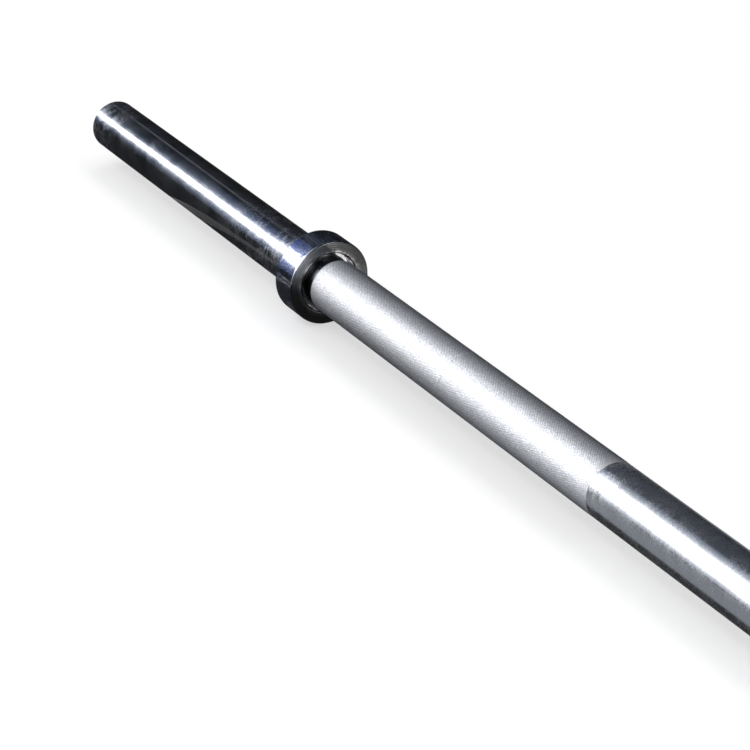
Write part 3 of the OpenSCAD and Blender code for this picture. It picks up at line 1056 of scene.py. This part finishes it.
def panel_material(studio):
    """Lit panel: brightest along its middle, falling off to both edges and turning bluish.

    The panel is wider in places, and a short length of it, which the left collar shows, hangs under a
    blue gel.
    """
    top = studio.panel_light
    glow = Glow("Lit Panel", strength=top)
    x = glow.place()
    width = glow.along(x, (
        (-3.6, 0.86), (-3.2, 0.95), (-3.0, 1.25), (-2.87, 1.85), (-2.79, 1.85), (-2.765, 1.5),
        (-2.755, 0.86), (-2.69, 0.86), (-2.27, 1.25), (-1.65, 2.4)))
    reach = PANEL_HIGH - PANEL_LOW
    middle = (PANEL_MIDDLE - PANEL_LOW) / reach
    off_middle = glow.math("SUBTRACT", glow.attribute("across"), middle)
    drawn = glow.plus(glow.math("DIVIDE", off_middle, width), middle)

    # Degrees up from the horizon as seen from the bar, the brightness there, and that under the gel
    angles, plain, under_gel = zip(*(
        (-1.4, 0.05, 0.035), (3, 0.075, 0.08), (11, 0.14, 0.14), (19, 0.36, 0.34), (24, 0.62, 0.7),
        (28, 1.0, 1.2), (31, 2.2, 2.2), (33, top, top), (47, top, top), (49, 2.2, 2.2),
        (52, 1.0, 0.9), (56, 0.6, 0.55), (60, 0.34, 0.42), (68, 0.16, 0.31), (76, 0.08, 0.21),
        (85, 0.05, 0.13), (92, 0.04, 0.11)))

    def fall(levels, edge):
        """Colour that turns from white to the edge's colour as the level falls under 1"""
        colours = []
        for angle, level in zip(angles, levels):
            white = min(1.0, level)
            colour = tuple(level / top * (white + (1 - white) * c) for c in edge)
            colours.append(((angle - PANEL_LOW) / reach, colour))
        return glow.ramp(drawn, colours)

    off_gel = glow.math("ABSOLUTE", glow.plus(x, studio.gel_place))
    glow.link("Color", glow.mix(glow.spread(off_gel, 0.04, 0.055), fall(under_gel, studio.gel_colour),
                                fall(plain, studio.panel_colour)))
    return glow.material


class FATBAR_OT_stage(bpy.types.Operator):
    """Makes the floor, the lamps, the cards that the metal shows, and the camera"""
    bl_idname = "fatbar.stage"
    bl_label = "Studio"

    # Pale strips on the floor that the sleeve and the collar show: name, brightness, width, places
    STRIPS = (
        ("floor_band", 0.085, 0.034,
         ((-0.965, 0.004), (-0.91, -0.035), (-0.85, -0.078), (-0.77, -0.10))),
        ("floor_far_line", 0.21, 0.007,
         ((-0.975, -0.004), (-0.92, -0.051), (-0.862, -0.094), (-0.81, -0.113))),
        ("floor_near_line", 0.13, 0.006,
         ((-0.93, 0.012), (-0.896, -0.019), (-0.835, -0.067), (-0.78, -0.080))),
        ("floor_outer_line", 0.60, 0.012, ((-0.90, -0.172), (-0.80, -0.172))),
        ("floor_inner_line", 0.55, 0.006, ((-0.815, -0.116), (-0.74, -0.116))),
        ("floor_back_line", 1.5, 0.012, ((-0.59, 0.077), (-0.52, 0.077))),
        ("floor_back_band", 0.30, 0.060, ((-0.60, 0.116), (-0.45, 0.116))),
        ("floor_glow", 2.4, 0.016, ((-0.526, 0.079), (-0.50, 0.083))),
        ("floor_root_line", 0.9, 0.020, ((-0.61, 0.034), (-0.57, 0.034))),
        ("floor_far_band", 0.36, 0.34, ((-0.86, -0.42), (-0.10, -0.42))),
    )

    def execute(self, context):
        scene, studio = context.scene, context.scene.fat_bar_studio
        self.floor(studio)
        self.world(scene, studio)
        self.lamps(studio)
        self.cards(studio)
        self.floor_cards()
        self.camera(scene, studio)
        scene.view_settings.view_transform = "Standard"
        return {"FINISHED"}

    def floor(self, studio):
        angle = np.arange(96) * (2 * math.pi / 96)
        rim = np.stack([np.cos(angle), np.sin(angle), 0 * angle], axis=-1) * studio.floor_radius
        rim[:, 2] = FLOOR_HEIGHT
        sheet("floor", rim, floor_material(studio))

    def world(self, scene, studio):
        """Even light on dull surfaces, and plain white for what sees it directly or in metal"""
        world = scene.world or bpy.data.worlds.new("Studio")
        scene.world = world
        world.use_nodes = True
        tree = Tree(world.node_tree)
        backdrop = world.node_tree.nodes["Background"].inputs
        tree.feed(backdrop["Color"], (1, 1, 1, 1))
        tree.feed(backdrop["Strength"], tree.spread(seen(tree), 0.0, 1.0, studio.world_light, 1.0))

    def lamps(self, studio):
        """Two long lamps along the bar, each at its angle up from the horizon in front"""
        distance = 2.2
        for name, angle in (("front_lamp", 48.0), ("back_lamp", 118.0)):
            data = bpy.data.lights.new(name, "AREA")
            data.shape = "RECTANGLE"
            data.size, data.size_y = 6.0, 1.4
            data.energy = studio.lamp_strength
            lamp = placed(name, data)
            a = math.radians(angle)
            lamp.location = (0.0, -distance * math.cos(a), distance * math.sin(a))
            lamp.rotation_euler = (math.pi / 2 - a, 0.0, 0.0)
            lamp.visible_camera = lamp.visible_glossy = False

    def cards(self, studio):
        """What the metal shows above the floor: the lit panel, a darker room, and lights in it"""
        arc_card("front_panel", PANEL_LOW, PANEL_HIGH, CARD_RADIUS, 5.0, panel_material(studio))
        back = graded("Dark Card", (0.92, 1.0, 1.2), (
            (-3.6, 0.035), (-3.3, 0.020), (-2.7, 0.020), (-2.2, 0.05), (-1.7, 0.09), (-1.2, 0.09),
            (-0.8, 0.03)), 0.35)
        arc_card("back_card", PANEL_HIGH, 181.4, CARD_RADIUS, 5.0, back)
        light, sheen = Glow("Back Light", (0.95, 0.98, 1.0), 4.0), Glow("Sheen", (0.10, 0.11, 0.13))
        arc_card("back_light", 112.0, 150.0, CARD_RADIUS - 0.02, 0.9, light.material, 1.5)
        arc_card("back_sheen", 99.0, 127.0, CARD_RADIUS - 0.015, 0.05, sheen.material, -2.74)

        # A thin tube of light, whose reflection is the pale line along the sleeve
        x = np.linspace(-3.75, -2.79, 9)
        a = np.radians(111.1 - 13.7 * (x + 2.82))
        middle = about_axis(x, CARD_RADIUS - 0.01, math.pi - a)
        half = about_axis(0.0, 0.032, math.pi / 2 - a)
        ribbon("back_tube", middle, half, Glow("Tube", (0.34, 0.39, 0.43)).material)

    def floor_cards(self):
        """The floor that the metal shows: darker, shaded under the bar, with pale strips on it"""
        height = FLOOR_HEIGHT + 5 * HAIR
        corners = [(-5.0, -1.6, height), (5.0, -1.6, height), (5.0, 1.6, height), (-5.0, 1.6, height)]
        grey = graded("Floor Card", (0.96, 1.0, 1.05), (
            (-0.75, 0.018), (-0.52, 0.03), (-0.42, 0.16), (-0.30, 0.30), (-0.15, 0.30)))
        only_in_metal(sheet("floor_card", corners, grey))
        shade = np.array([(x, 0.0105, height + HAIR) for x in (-0.70, 0.6)])
        dark = Glow("Floor Shade", (0.04,) * 3)
        ribbon("floor_shade", shade, np.array([0, 0.0555, 0]), dark.material)
        for name, level, width, places in self.STRIPS:
            height += 2 * HAIR
            middle = np.array([(x, y, height) for x, y in places])
            glow = Glow(name, (level, level * 0.97, level * 0.94))
            ribbon(name, middle, np.array([0, width / 2, 0]), glow.material)

    def camera(self, scene, studio):
        lens = bpy.data.cameras.new("camera")
        lens.sensor_width = 36.0
        lens.lens = studio.camera_lens
        lens.clip_start, lens.clip_end = 0.05, 100.0
        camera = placed("camera", lens)
        camera.location = studio.camera_place
        camera.rotation_euler = (math.pi / 2 - studio.camera_elevation, 0.0, studio.camera_azimuth)
        scene.camera = camera


# Add-on


PIECES = (
    FATBAR_OT_grip,
    FATBAR_OT_knurls,
    FATBAR_OT_sleeves,
    FATBAR_OT_collars,
    FATBAR_OT_caps,
    FATBAR_OT_rings,
    FATBAR_OT_bearings,
    FATBAR_OT_stage,
)


class FATBAR_PT_panel(bpy.types.Panel):
    """Sizes, colours and pieces of the fat bar"""
    bl_idname = "FATBAR_PT_panel"
    bl_label = "Fat Bar"
    bl_space_type = "VIEW_3D"
    bl_region_type = "UI"
    bl_category = "Fat Bar"

    def draw(self, context):
        for made in PIECES:
            self.layout.operator(made.bl_idname)
        for settings in SETTINGS:
            box = self.layout.box()
            values = getattr(context.scene, settings)
            for name in values.bl_rna.properties.keys():
                if name not in ("name", "rna_type"):
                    box.prop(values, name)


SETTINGS = {
    "fat_bar_grip": GripSizes,
    "fat_bar_sleeve": SleeveSizes,
    "fat_bar_finish": BarFinish,
    "fat_bar_studio": Studio,
}
CLASSES = (*SETTINGS.values(), *PIECES, FATBAR_PT_panel)


def register():
    for made in CLASSES:
        bpy.utils.register_class(made)
    for name, made in SETTINGS.items():
        setattr(bpy.types.Scene, name, PointerProperty(type=made))


def unregister():
    for name in SETTINGS:
        delattr(bpy.types.Scene, name)
    for made in reversed(CLASSES):
        bpy.utils.unregister_class(made)


def main():
    register()
    for made in PIECES:
        family, name = made.bl_idname.split(".")
        getattr(getattr(bpy.ops, family), name)()


if __name__ == "__main__":
    main()
